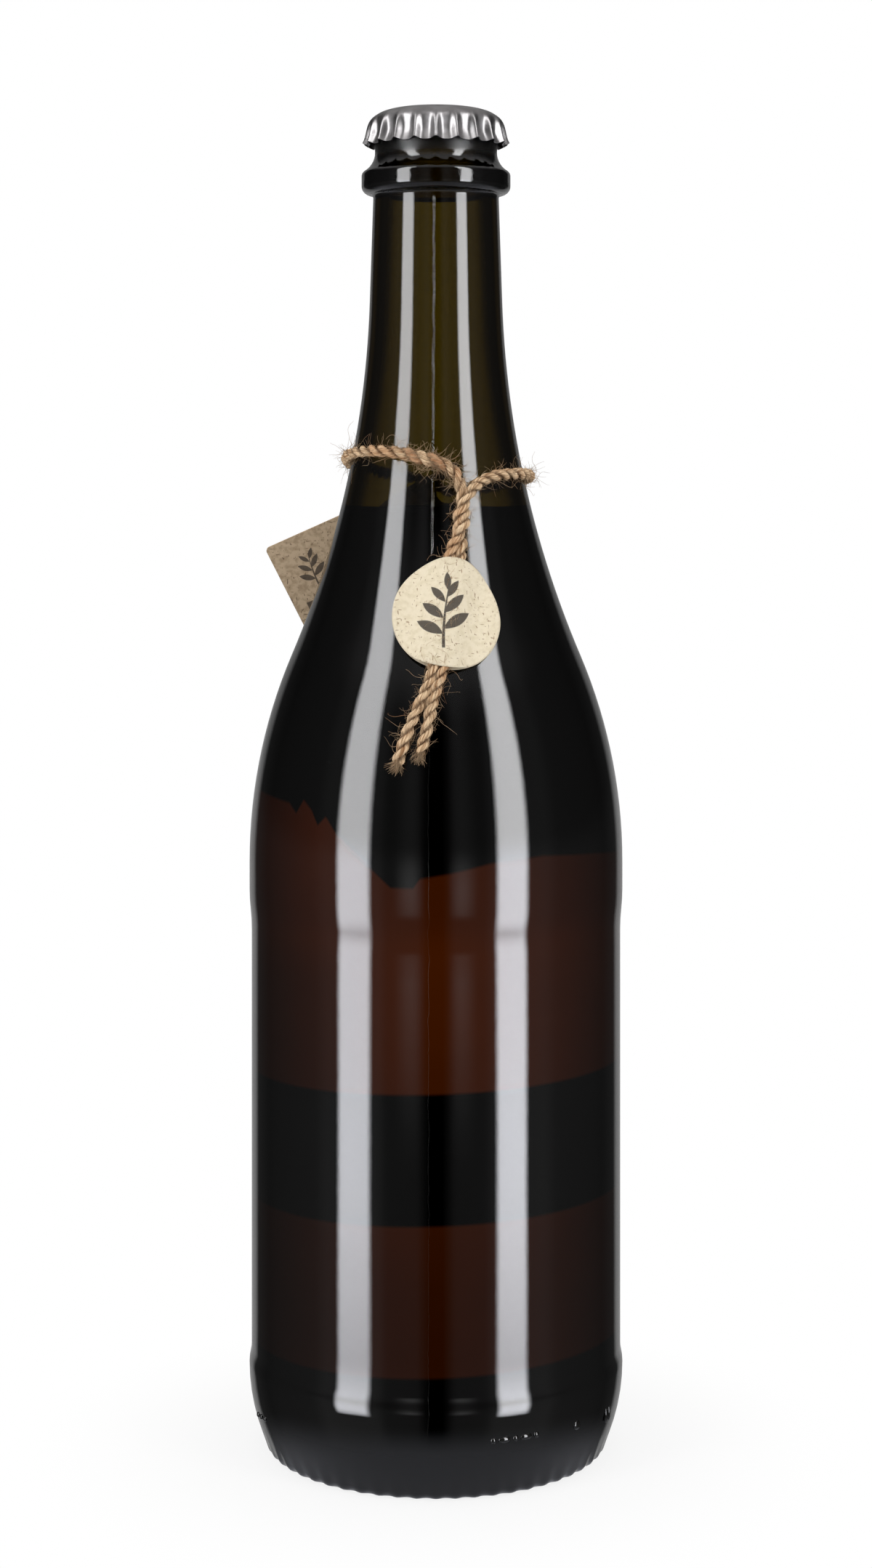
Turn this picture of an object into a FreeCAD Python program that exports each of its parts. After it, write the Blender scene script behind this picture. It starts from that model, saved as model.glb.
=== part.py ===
import FreeCAD, Part
import math
import os

# A wine bottle under a crown cap. Its pieces: a dark glass shell with the wine
# in it, a fluted steel cap, jute twine round the neck that carries a kraft tag
# behind and a round paper seal in front, and two paper labels on the back.
#
# Millimetres. The axis of the bottle is Z, it stands on z = 0, and the seal is
# on the -Y side. An azimuth is in degrees from -Y, positive towards +X.
# Places on the neck are drops below neckTop, the underside of the collar, so
# that they follow when the body is made taller or wider.

Vector = FreeCAD.Vector
zAxis = Vector(0, 0, 1)
origin = Vector(0, 0, 0)

# glass, outside
bodyRadius = 41.5           # the two contact rings that touch other bottles
panelInset = 0.5            # label panel, sunk between the contact rings
bearingInset = 6.75         # from the body in to the flat ring that it stands on
bearingWidth = 1.75
heelCorner = 3.3            # small rounding out of the bearing ring
heelRadius = 40.65          # large rounding up to the lower contact ring
panelStep = 4.0             # height of the step from the lower ring to the panel
panelHeight = 92.0          # straight part of the label panel
upperRingStep = 9.0         # height of the softer step at the panel's top
upperRingHeight = 5.9       # straight part of the upper contact ring
shoulderRadius = 116.8      # rounding out of the body
neckSweep = 219.8           # hollow rounding into the neck
neckRadius = 14.0           # just under the collar
neckTaper = 1.93            # degrees
neckLength = 23.1           # straight part of the neck

# glass, collar and lip
collarStand = 2.6           # how far the collar stands out from the neck
collarFillet = 0.8          # hollow rounding between neck and collar
collarLowerCorner = 1.9
collarBand = 2.2            # straight face of the collar
collarUpperCorner = 1.3
lipOverhang = 0.4           # how far the lip stands out from the waist
waistSweep = 5.0            # hollow rounding between collar and waist
lipRadius = 14.0
lipRise = 4.4               # from the waist up to the widest line of the lip
lipLand = 1.4               # straight part of the lip
lipRounding = 2.6           # rounding at the top of the lip
boreRadius = 9.4
boreCorner = 0.8
boreLength = 9.0            # straight part of the bore below the mouth

# glass, inside
wall = 3.4
puntDepth = 20.0
puntCorner = 4.0            # rounding between the bearing ring and the punt
baseThickness = 5.0
innerHeel = 5.0             # rounding between the wall and the inner dome

# wine
fillDrop = 88.2             # from the mouth down to the wine

# crown cap
capSheet = 0.28
capLift = 1.3               # room for the sealing disc between lip and cap
capDisc = 2.5               # radius of the flat middle of the domed top
capFlutes = 21
polesPerFlute = 8
ridgeSharpness = 3.0
ridgeNotch = 0.7            # the edge is this much higher at each ridge
crimpGrip = 0.10            # clearance between the crimp and the lip
# rows of the skirt: drop below the top, then how far the ridges and the scoops
# between them stand out from the crimp
capRows = ((0.00, -8.9, -8.9), (0.25, -5.5, -5.5), (0.85, -2.8, -2.8), (1.75, -0.75, -0.85),
           (2.9, 0.45, 0.0), (4.2, 1.1, 0.0), (5.4, 1.4, 0.0), (6.4, 1.65, 0.0),
           (7.4, 1.9, 0.4), (8.6, 2.2, 1.05))

# twine: one length, from the left tail up through the seal, round the neck and
# through the tag, and back down through the seal to the right tail
twineDiameter = 1.9
twineClearance = 0.12       # to the glass, the card and between neighbouring legs
# azimuth and drop of the points between which it runs
leftTail = ((-12.0, 124.1), (-10.9, 121.1), (-9.9, 117.9), (-8.3, 114.6),
            (-6.3, 111.5), (-4.2, 108.4), (-2.3, 105.4))
leftLeg = ((7.9, 77.6), (9.4, 74.2), (10.8, 70.8), (12.6, 67.6), (13.4, 64.6),
           (11.6, 62.0), (5.4, 59.7))
leftLoop = ((-3.1, 58.5), (-15.7, 57.6), (-29.0, 56.7), (-45.0, 56.5), (-62.0, 56.7),
            (-80.0, 57.5), (-98.0, 58.7), (-116.0, 59.8), (-133.0, 60.9))
rightLoop = ((164.0, 65.3), (151.0, 64.9), (136.0, 64.2), (118.0, 63.2), (100.0, 62.4),
             (82.0, 61.8), (64.0, 61.5), (49.0, 61.6), (36.5, 62.0), (27.3, 63.2))
rightLeg = ((21.4, 65.4), (18.1, 68.0), (16.2, 71.2), (14.6, 74.4), (12.9, 77.7))
rightTail = ((1.2, 105.2), (-0.8, 108.7), (-1.9, 112.0), (-2.9, 115.5), (-4.0, 119.1),
             (-5.5, 122.9))

# seal of two paper discs stuck together over the twine
sealPaper = 0.22
sealDrop = 91.3             # from neckTop to its middle
sealAzimuth = 4.4
sealStand = 0.42            # the flat disc bridges the hollow of the shoulder
sealGlue = 0.02
sealRamp = 4.0              # width of the slope beside the twine
sealLean = 9.4              # degrees that the two legs lean in the seal
sealLegs = 12.9             # half of the straight stretch inside the seal
sealRim = (11.3, 10.9, 11.9, 12.4, 11.4, 11.3, 11.6, 12.1, 12.4, 12.5, 12.9, 12.3)

# hang tag
tagWidth = 50.0
tagHeight = 80.0
tagCard = 0.45
tagCorner = 1.0
tagHole = 3.0               # radius
tagMargin = 5.4             # from the hole's middle to the two edges beside it
tagTurn = 25.0              # degrees, as it hangs by one corner
tagSide = 3.0               # place of the hole along X
tagDrop = 65.4              # from neckTop to the hole
tagRest = 0.3               # clearance where the card leans on the shoulder
# the twine in the tag's own frame: along the top edge, up the card, off the card
overTag = ((-8.8, 8.0, 0.2), (-5.5, 5.2, 1.9), (-2.1, 2.0, 1.75), (0.0, 0.0, 0.0))

# labels
labelPaper = 0.12
labelGlue = 0.03
labelHalfAngle = 68.0       # either side of the back
lowerLabelRise = 1.1        # from the panel's foot to the lower label
lowerLabelHeight = 19.0
upperLabelRise = 49.1       # from the panel's foot to the upper label
# top edge of the upper label: degrees from the back towards +X, height of paper
labelEdge = ((-68, 52.0), (-45, 58.5), (-20, 57.0), (-8, 54.5), (3, 49.5), (7, 50.5),
             (13, 59.5), (20, 68.0), (34, 72.5), (50, 66.0), (68, 58.0))


def at(radius, height):
    return Vector(radius, 0, height)


def polar(centre, radius, degrees):
    angle = math.radians(degrees)
    return centre + at(radius * math.cos(angle), radius * math.sin(angle))


def arc(centre, radius, start, end):
    return Part.Arc(*[polar(centre, radius, a) for a in (start, (start + end) / 2, end)]).toShape()


def line(start, end):
    return Part.LineSegment(start, end).toShape()


def step(start, end):
    # two equal arcs that join two upright stretches of a profile
    rise, run = end.z - start.z, end.x - start.x
    radius = (rise * rise + run * run) / (4 * abs(run))
    turn = math.degrees(math.asin(rise / 2 / radius))
    if run > 0:
        return [arc(start + at(radius, 0), radius, 180, 180 - turn),
                arc(end - at(radius, 0), radius, -turn, 0)]
    return [arc(start - at(radius, 0), radius, 0, turn),
            arc(end + at(radius, 0), radius, 180 + turn, 180)]


def turned(edges, degrees=360):
    face = Part.Face(Part.Wire(Part.__sortEdges__(edges)))
    return face.revolve(origin, zAxis, degrees)


# radii and heights that follow from the sizes
panelRadius = bodyRadius - panelInset
bearingRadius = bodyRadius - bearingInset
collarRadius = neckRadius + collarStand
waistRadius = lipRadius - lipOverhang
heelTop = heelCorner + math.sqrt((heelRadius - heelCorner) ** 2
                                 - (bearingRadius - bodyRadius + heelRadius) ** 2)
panelBottom = heelTop + panelStep
panelTop = panelBottom + panelHeight
upperRingBottom = panelTop + upperRingStep
shoulderBottom = upperRingBottom + upperRingHeight

# the shoulder: two tangent arcs between the body and the tapered neck
taper = math.radians(neckTaper)
neckNormal = at(math.cos(taper), math.sin(taper))
neckFootRadius = neckRadius + neckLength * math.tan(taper)
shoulderCentre = at(bodyRadius - shoulderRadius, shoulderBottom)
sweepAcross = neckFootRadius + neckSweep * math.cos(taper) - shoulderCentre.x
sweepRise = math.sqrt((shoulderRadius + neckSweep) ** 2 - sweepAcross ** 2)
sweepCentre = shoulderCentre + at(sweepAcross, sweepRise)
bendAngle = math.degrees(math.atan2(sweepRise, sweepAcross))
bendHeight = polar(shoulderCentre, shoulderRadius, bendAngle).z
neckFoot = sweepCentre - neckNormal * neckSweep
neckTop = neckFoot + at(neckRadius - neckFootRadius, neckLength)


def shoulder(inwards):
    # the side from the body to the collar, moved into the glass
    foot = neckFoot - neckNormal * inwards
    return [arc(shoulderCentre, shoulderRadius - inwards, 0, bendAngle),
            arc(sweepCentre, neckSweep + inwards, 180 + bendAngle, 180 + neckTaper),
            line(foot, neckTop - neckNormal * inwards)]


def glassRadius(height):
    if height >= neckFoot.z:
        return neckRadius + (neckTop.z - height) * math.tan(taper)
    if height >= bendHeight:
        return sweepCentre.x - math.sqrt(neckSweep ** 2 - (height - sweepCentre.z) ** 2)
    return shoulderCentre.x + math.sqrt(shoulderRadius ** 2 - (height - shoulderCentre.z) ** 2)


def glassLean(height):
    # how far the surface leans back from upright, in radians
    if height >= neckFoot.z:
        return taper
    if height >= bendHeight:
        return math.asin((sweepCentre.z - height) / neckSweep)
    return math.asin((height - shoulderCentre.z) / shoulderRadius)


# collar and lip, from the neck upwards
filletCentre = neckTop + neckNormal * collarFillet
collarBottom = filletCentre.z + collarFillet
lowerCorner = at(collarRadius - collarLowerCorner, collarBottom + collarLowerCorner)
upperCorner = lowerCorner + at(collarLowerCorner - collarUpperCorner, collarBand)
cornerTurn = math.degrees(math.acos((waistRadius + waistSweep - upperCorner.x)
                                    / (collarUpperCorner + waistSweep)))
waistCentre = polar(upperCorner, collarUpperCorner + waistSweep, cornerTurn)
lipWidest = at(lipRadius, waistCentre.z + lipRise)
lipCorner = lipWidest + at(-lipRounding, lipLand)
mouth = lipCorner.z + lipRounding
boreTop = at(boreRadius + boreCorner, mouth - boreCorner)
boreBottom = at(boreRadius, mouth - boreLength)

# inside and punt
puntRim = at(bearingRadius - bearingWidth, puntCorner)
domeRadius = (puntRim.x ** 2 + puntDepth ** 2 - 2 * puntCorner * puntDepth) / (2 * puntDepth)
domeCentre = at(0, puntDepth - domeRadius)
puntAngle = math.degrees(math.atan2(puntRim.z - domeCentre.z, puntRim.x))
innerRadius = bodyRadius - wall
innerDome = domeRadius + baseThickness
innerCorner = at(innerRadius - innerHeel, domeCentre.z + math.sqrt(
    (innerDome + innerHeel) ** 2 - (innerRadius - innerHeel) ** 2))
innerAngle = math.degrees(math.atan2(innerCorner.z - domeCentre.z, innerCorner.x))


def cavityEdges():
    neckInside = neckTop - neckNormal * wall
    return ([arc(domeCentre, innerDome, 90, innerAngle),
             arc(innerCorner, innerHeel, innerAngle + 180, 360),
             line(at(innerRadius, innerCorner.z), at(innerRadius, shoulderBottom))]
            + shoulder(wall)
            + step(neckInside, boreBottom)
            + [line(boreBottom, at(boreRadius, boreTop.z)),
               arc(boreTop, boreCorner, 180, 90)])


def makeBottle():
    heelCentre = at(bodyRadius - heelRadius, heelTop)
    cornerCentre = at(bearingRadius, heelCorner)
    cornerAngle = math.degrees(math.atan2(cornerCentre.z - heelCentre.z,
                                          cornerCentre.x - heelCentre.x))
    foot = [arc(domeCentre, domeRadius, 90, puntAngle),
            arc(puntRim, puntCorner, puntAngle + 180, 270),
            line(at(puntRim.x, 0), at(bearingRadius, 0)),
            arc(cornerCentre, heelCorner, -90, cornerAngle),
            arc(heelCentre, heelRadius, cornerAngle, 0)]
    body = (step(at(bodyRadius, heelTop), at(panelRadius, panelBottom))
            + [line(at(panelRadius, panelBottom), at(panelRadius, panelTop))]
            + step(at(panelRadius, panelTop), at(bodyRadius, upperRingBottom))
            + [line(at(bodyRadius, upperRingBottom), at(bodyRadius, shoulderBottom))])
    collar = [arc(filletCentre, collarFillet, 180 + neckTaper, 90),
              line(at(filletCentre.x, collarBottom), at(lowerCorner.x, collarBottom)),
              arc(lowerCorner, collarLowerCorner, -90, 0),
              line(at(collarRadius, lowerCorner.z), at(collarRadius, upperCorner.z)),
              arc(upperCorner, collarUpperCorner, 0, cornerTurn),
              arc(waistCentre, waistSweep, 180 + cornerTurn, 180)]
    lip = (step(at(waistRadius, waistCentre.z), lipWidest)
           + [line(lipWidest, at(lipRadius, lipCorner.z)),
              arc(lipCorner, lipRounding, 0, 90),
              line(at(lipCorner.x, mouth), at(boreTop.x, mouth))])
    axis = [line(at(0, puntDepth), at(0, puntDepth + baseThickness))]
    return turned(foot + body + shoulder(0) + collar + lip + cavityEdges() + axis)


def makeWine():
    apex = at(0, puntDepth + baseThickness)
    cavity = turned(cavityEdges() + [line(at(boreTop.x, mouth), at(0, mouth)),
                                     line(at(0, mouth), apex)])
    return cavity.common(Part.makeCylinder(bodyRadius, mouth - fillDrop))


def makeCap():
    top = mouth + capLift + capSheet
    crimp = lipRadius + crimpGrip + capSheet
    ridge = [(capDisc, top)] + [(crimp + r, top - drop) for drop, r, _ in capRows]
    scoop = [(capDisc, top)] + [(crimp + s, top - drop) for drop, _, s in capRows]

    def inwards(profile):
        # the same profile on the other side of the sheet
        inner = []
        for index, (radius, height) in enumerate(profile):
            before = profile[max(index - 1, 0)]
            after = profile[min(index + 1, len(profile) - 1)]
            across, down = after[0] - before[0], before[1] - after[1]
            length = math.hypot(across, down)
            inner.append((radius - capSheet * down / length, height - capSheet * across / length))
        return inner

    poleCount = capFlutes * polesPerFlute

    def skin(ridgeProfile, scoopProfile):
        poles = []
        for index in range(poleCount):
            turn = 2 * math.pi * index / poleCount
            share = ((1 + math.cos(capFlutes * turn)) / 2) ** ridgeSharpness
            column = []
            last = len(ridgeProfile) - 1
            for row, (out, hollow) in enumerate(zip(ridgeProfile, scoopProfile)):
                radius = hollow[0] + (out[0] - hollow[0]) * share
                height = hollow[1] + (ridgeNotch * share if row == last else 0)
                column.append(Vector(radius * math.sin(turn), -radius * math.cos(turn), height))
            poles.append(column)
        return poles

    def surface(poles):
        rows = len(poles[0])
        degree = min(3, rows - 1)
        spans = rows - degree
        sheet = Part.BSplineSurface()
        sheet.buildFromPolesMultsKnots(
            poles, [1] * (poleCount + 1), [degree + 1] + [1] * (spans - 1) + [degree + 1],
            list(range(poleCount + 1)), list(range(spans + 1)), True, False, 3, degree)
        return sheet.toShape()

    outside = skin(ridge, scoop)
    inside = skin(inwards(ridge), inwards(scoop))
    faces = [surface(outside), surface(inside),
             surface([[a[-1], b[-1]] for a, b in zip(outside, inside)])]
    for sheet in faces[:2]:
        rim = max(sheet.Edges, key=lambda edge: edge.BoundBox.ZMin)
        faces.append(Part.Face(Part.Wire([rim])))
    shell = Part.Shell(faces)
    solid = Part.Solid(shell)
    if solid.Volume < 0:
        solid.reverse()
    return solid


def onGlass(azimuth, height, lift):
    angle, lean = math.radians(azimuth), glassLean(height)
    radius = glassRadius(height) + lift * math.cos(lean)
    return Vector(radius * math.sin(angle), -radius * math.cos(angle),
                  height + lift * math.sin(lean))


class Frame:
    # three axes at a place: across, up and out of a flat sheet
    def __init__(self, place, across, up):
        self.place, self.across, self.up = place, across, up
        self.out = across.cross(up)

    def point(self, across, up, out):
        return self.place + self.across * across + self.up * up + self.out * out

    def put(self, shape):
        # moves a shape drawn with across on X, up on Y and out on Z
        matrix = FreeCAD.Matrix(self.across.x, self.up.x, self.out.x, self.place.x,
                                self.across.y, self.up.y, self.out.y, self.place.y,
                                self.across.z, self.up.z, self.out.z, self.place.z)
        shape.Placement = FreeCAD.Placement(matrix)
        return shape


def sealFrame():
    height = neckTop.z - sealDrop
    angle, lean = math.radians(sealAzimuth), glassLean(height)
    across = Vector(math.cos(angle), math.sin(angle), 0)
    up = Vector(-math.sin(lean) * math.sin(angle), math.sin(lean) * math.cos(angle),
                math.cos(lean))
    return Frame(onGlass(sealAzimuth, height, sealStand), across, up)


def tagFrame():
    height = neckTop.z - tagDrop
    gap = (twineDiameter + 2 * twineClearance) / math.cos(glassLean(height))
    hole = at(glassRadius(height) + gap, height)
    reach = hole - shoulderCentre
    lean = (math.atan2(reach.z, reach.x)
            - math.acos((shoulderRadius + tagRest) / reach.Length))
    down = Vector(0, math.sin(lean), -math.cos(lean))
    side = Vector(1, 0, 0)
    turn = math.radians(tagTurn)
    across = side * math.cos(turn) - down * math.sin(turn)
    up = side * -math.sin(turn) - down * math.cos(turn)
    return Frame(Vector(tagSide, hole.x, height), across, up)


def twineRoute():
    rest = twineDiameter / 2 + twineClearance
    seal, tag = sealFrame(), tagFrame()

    def overGlass(places):
        points = []
        for index, (azimuth, drop) in enumerate(places):
            around = places[max(index - 1, 0):index + 2]
            halfStep = max(abs(azimuth - other) for other, _ in around) / 2
            point = onGlass(azimuth, neckTop.z - drop, rest)
            bulge = 1 / math.cos(math.radians(halfStep))    # so that the chord clears the glass
            points.append(Vector(point.x * bulge, point.y * bulge, point.z))
        return points

    def inSeal(lane, ends):
        lean = math.radians(sealLean)
        layer = sealPaper + sealGlue + rest
        side = lane * rest
        return [seal.point(side * math.cos(lean) + end * math.sin(lean),
                           -side * math.sin(lean) + end * math.cos(lean), layer) for end in ends]

    # off the card, a point is counted from the middle of its thickness
    behind = [tag.point(a, u, -tagCard / 2 - o) for a, u, o in overTag]
    return (overGlass(leftTail) + inSeal(-1, (-sealLegs, sealLegs)) + overGlass(leftLeg + leftLoop)
            + behind + overGlass(rightLoop + rightLeg) + inSeal(1, (sealLegs, -sealLegs))
            + overGlass(rightTail))


def roundedPath(points):
    # straight runs joined by tangent arcs, each as large as its two runs allow
    edges, radii = [], []
    start = points[0]
    for before, corner, after in zip(points, points[1:], points[2:]):
        back, ahead = before - corner, after - corner
        run = min(back.Length, ahead.Length)
        back.normalize()
        ahead.normalize()
        turn = math.pi - back.getAngle(ahead)
        reach = 0.45 * run
        radius = reach / math.tan(turn / 2)
        bisector = (back + ahead).normalize()
        middle = corner + bisector * (radius / math.cos(turn / 2) - radius)
        edges.append(line(start, corner + back * reach))
        edges.append(Part.Arc(corner + back * reach, middle, corner + ahead * reach).toShape())
        radii.append(radius)
        start = corner + ahead * reach
    edges.append(line(start, points[-1]))
    return edges, radii


def makeTwine():
    edges, radii = roundedPath(twineRoute())
    path = Part.Wire(edges)
    first = edges[0]
    direction = first.Vertexes[1].Point - first.Vertexes[0].Point
    circle = Part.Circle(first.Vertexes[0].Point, direction, twineDiameter / 2)
    section = Part.Face(Part.Wire(circle.toShape()))
    tube = path.makePipe(section)
    print("twine length", round(path.Length, 1), "tightest radius", round(min(radii), 1),
          "volume against section times length",
          round(tube.Volume / (section.Area * path.Length), 4))
    return tube


def sealOutline():
    count = len(sealRim)
    points = []
    for index, radius in enumerate(sealRim):
        angle = 2 * math.pi * index / count
        points.append(Vector(radius * math.cos(angle), radius * math.sin(angle), 0))
    rim = Part.BSplineCurve()
    rim.interpolate(points, PeriodicFlag=True)
    return Part.Face(Part.Wire(rim.toShape()))


def makeSealBack():
    return sealFrame().put(sealOutline().extrude(Vector(0, 0, sealPaper)))


def makeSealFront():
    # flat wings on the back disc and a ridge over the two legs of twine
    reach = 2 * max(sealRim)
    foot = sealPaper + sealGlue
    crown = foot + twineDiameter + 2 * twineClearance
    flat = twineDiameter / 2 + twineClearance
    ramp = Vector(flat + sealRamp, 0, foot), Vector(flat, 0, crown)

    def half(lift):
        # the ramp's two arcs lie flat at both ends, so they are an upright step laid down
        low, high = [point + Vector(0, 0, lift) for point in ramp]
        rise, run = high.z - low.z, low.x - high.x
        radius = (rise * rise + run * run) / (4 * rise)
        turn = math.degrees(math.asin(run / 2 / radius))
        return [line(Vector(reach, 0, low.z), low),
                arc(low + at(0, radius), radius, 270, 270 - turn),
                arc(high - at(0, radius), radius, 90 - turn, 90),
                line(high, Vector(0, 0, high.z))]

    right = half(0) + half(sealPaper) + [line(Vector(reach, 0, foot), Vector(reach, 0, foot + sealPaper))]
    mirrored = [edge.mirror(origin, Vector(1, 0, 0)) for edge in right]
    strip = Part.Face(Part.Wire(Part.__sortEdges__(right + mirrored)))
    sheet = strip.extrude(Vector(0, 2 * reach, 0))
    sheet.translate(Vector(0, -reach, 0))
    sheet.rotate(origin, zAxis, -sealLean)
    disc = sealOutline().extrude(Vector(0, 0, crown + 2 * sealPaper))
    return sealFrame().put(sheet.common(disc).Solids[0])


def makeTag():
    left, right = tagMargin - tagWidth, tagMargin
    low, high = tagMargin - tagHeight, tagMargin
    card = Part.makeBox(tagWidth, tagHeight, tagCard, Vector(left, low, -tagCard))
    upright = [edge for edge in card.Edges
               if abs(edge.Vertexes[0].Point.z - edge.Vertexes[-1].Point.z) > tagCard / 2]
    card = card.makeFillet(tagCorner, upright)
    hole = Part.makeCylinder(tagHole, 3 * tagCard, Vector(0, 0, -2 * tagCard))
    return tagFrame().put(card.cut(hole))


def makeLowerLabel():
    inner = at(panelRadius + labelGlue, panelBottom + lowerLabelRise)
    corners = [inner, inner + at(labelPaper, 0), inner + at(labelPaper, lowerLabelHeight),
               inner + at(0, lowerLabelHeight), inner]
    sheet = Part.Face(Part.makePolygon(corners)).revolve(origin, zAxis, 2 * labelHalfAngle)
    sheet.rotate(origin, zAxis, 90 - labelHalfAngle)
    return sheet


def makeUpperLabel():
    bottom = panelBottom + upperLabelRise
    top = bottom + 1.2 * max(height for _, height in labelEdge)

    def side(outwards):
        shelf = at(outwards, 0)
        arcTop = math.degrees(math.asin((top - shoulderBottom) / (shoulderRadius + outwards)))
        return ([line(at(panelRadius, bottom) + shelf, at(panelRadius, panelTop) + shelf)]
                + step(at(panelRadius, panelTop) + shelf, at(bodyRadius, upperRingBottom) + shelf)
                + [line(at(bodyRadius, upperRingBottom) + shelf,
                        at(bodyRadius, shoulderBottom) + shelf),
                   arc(shoulderCentre, shoulderRadius + outwards, 0, arcTop)])

    inner, outer = side(labelGlue), side(labelGlue + labelPaper)
    ends = [line(inner[0].Vertexes[0].Point, outer[0].Vertexes[0].Point),
            line(inner[-1].Vertexes[-1].Point, outer[-1].Vertexes[-1].Point)]
    stock = turned(inner + outer + ends)
    edge = [Vector(bodyRadius * math.sin(math.radians(turn)), 0, bottom + height)
            for turn, height in labelEdge]
    top = Part.BSplineCurve()
    top.interpolate(edge)
    left, right = edge[0], edge[-1]
    outline = Part.Face(Part.Wire([
        line(at(left.x, bottom), at(right.x, bottom)), line(at(right.x, bottom), right),
        top.toShape(), line(left, at(left.x, bottom))]))
    return stock.common(outline.extrude(Vector(0, 2 * bodyRadius, 0))).Solids[0]


pieces = {
    "bottle": makeBottle,
    "wine": makeWine,
    "crown_cap": makeCap,
    "twine": makeTwine,
    "seal_back": makeSealBack,
    "seal_front": makeSealFront,
    "hang_tag": makeTag,
    "label_upper": makeUpperLabel,
    "label_lower": makeLowerLabel,
}

os.makedirs("parts", exist_ok=True)
for name, make in pieces.items():
    solid = make()
    box = solid.BoundBox
    print(name, solid.ShapeType, "solids", len(solid.Solids), "valid", solid.isValid(),
          "cm3", round(solid.Volume / 1000, 2),
          "box", [round(v, 2) for v in (box.XMin, box.YMin, box.ZMin, box.XMax, box.YMax, box.ZMax)])
    solid.exportStep("parts/" + name + ".step")
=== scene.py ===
import math

import bpy
import numpy as np
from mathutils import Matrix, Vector


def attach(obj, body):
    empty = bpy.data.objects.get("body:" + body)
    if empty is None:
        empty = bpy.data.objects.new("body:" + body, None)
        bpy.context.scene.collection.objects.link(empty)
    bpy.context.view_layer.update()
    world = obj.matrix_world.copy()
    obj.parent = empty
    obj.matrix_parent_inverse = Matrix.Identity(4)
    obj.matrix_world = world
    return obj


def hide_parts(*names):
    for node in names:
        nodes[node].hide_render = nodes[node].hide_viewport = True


# The wine bottle dressed for the camera: moulded glass over dark wine, twisted
# jute twine, a paper seal and a kraft tag with a small leafy sprig printed on
# them, and a plain studio. Sizes are in millimetres and turned into metres
# when a mesh is made. Azimuths are in degrees from -Y, positive towards +X.

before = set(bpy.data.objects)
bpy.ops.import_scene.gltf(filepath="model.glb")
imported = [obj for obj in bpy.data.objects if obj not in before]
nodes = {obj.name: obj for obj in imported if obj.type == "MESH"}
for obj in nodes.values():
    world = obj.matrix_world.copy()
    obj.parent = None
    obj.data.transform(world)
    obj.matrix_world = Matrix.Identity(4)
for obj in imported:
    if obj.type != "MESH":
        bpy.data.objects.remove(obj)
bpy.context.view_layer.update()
mm = 0.001


class Value:
    # one socket of a node tree: arithmetic on it adds Math nodes
    def __init__(self, nodeTree, socket):
        self.tree, self.socket = nodeTree, socket

    def maths(self, operation, *values):
        return self.tree.node("Math", {"operation": operation}, dict(enumerate(values)))

    def __add__(self, other):
        return self.maths("ADD", self, other)

    def __sub__(self, other):
        return self.maths("SUBTRACT", self, other)

    def __rsub__(self, other):
        return self.maths("SUBTRACT", other, self)

    def __mul__(self, other):
        return self.maths("MULTIPLY", self, other)

    def __truediv__(self, other):
        return self.maths("DIVIDE", self, other)

    def __abs__(self):
        return self.maths("ABSOLUTE", self)

    __radd__, __rmul__ = __add__, __mul__

    def step(self, start, end, low=0.0, high=1.0):
        # smooth change from low to high while the value goes from start to end
        return self.tree.node("MapRange", {"interpolation_type": "SMOOTHSTEP"}, {
            "Value": self, "From Min": start, "From Max": end, "To Min": low, "To Max": high})

    def band(self, low, high, soft):
        return self.step(low - soft, low + soft) * self.step(high - soft, high + soft, 1.0, 0.0)

    def either(self, other):
        return self.maths("MAXIMUM", self, other)

    def ramp(self, stops, low=0.0, high=1.0):
        # straight lines between stops, each a place between low and high and its result
        places = [((place - low) / (high - low), result) for place, result in stops]
        return self.tree.node("ValToRGB", {"stops": places}, {0: (self - low) / (high - low)})


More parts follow.
